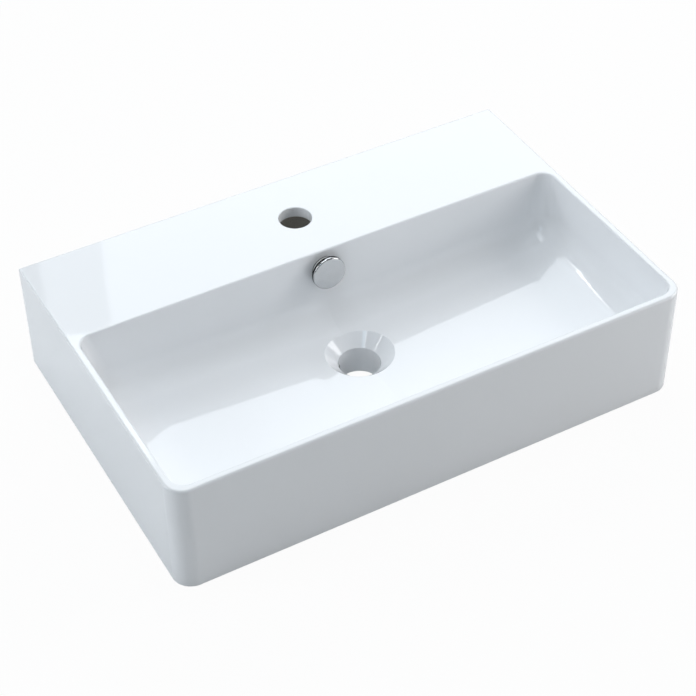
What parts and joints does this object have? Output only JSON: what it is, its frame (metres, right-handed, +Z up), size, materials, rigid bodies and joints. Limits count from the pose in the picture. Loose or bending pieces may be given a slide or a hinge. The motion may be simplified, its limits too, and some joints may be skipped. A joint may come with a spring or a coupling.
{
  "type": "washbasin",
  "caption": "Rectangular ceramic washbasin with a thin rim, a deep drafted bowl, a rear tap ledge and a push-in round overflow cover.",
  "frame": {"origin": "centre of the base plane, midway between the sides and between the front and the back face", "axes": "+Z up, -Y towards the user, +Y towards the wall, +X to the user's right"},
  "size_m": [0.565, 0.365, 0.13],
  "materials": {
    "glaze": "high gloss white glaze, bare fired clay on the base and back",
    "plated_cap": "polished edge, fine satin face",
    "white_plastic": "moulded, satin",
    "screw_steel": "turned",
    "seal_rubber": "matt black"
  },
  "bodies": {
    "basin": {"basin": "glaze"},
    "overflow_cover": {"overflow_cap": "plated_cap", "overflow_insert": "white_plastic", "overflow_screw": "screw_steel", "overflow_gasket": "seal_rubber", "grip_ring_front": "seal_rubber", "grip_ring_back": "seal_rubber"}
  },
  "joints": [
    {"name": "overflow_cover_pull", "type": "slide", "parent": "basin", "child": "overflow_cover", "axis": [0, -0.9962, 0.0872], "range_m": [0, 0.045]}
  ]
}
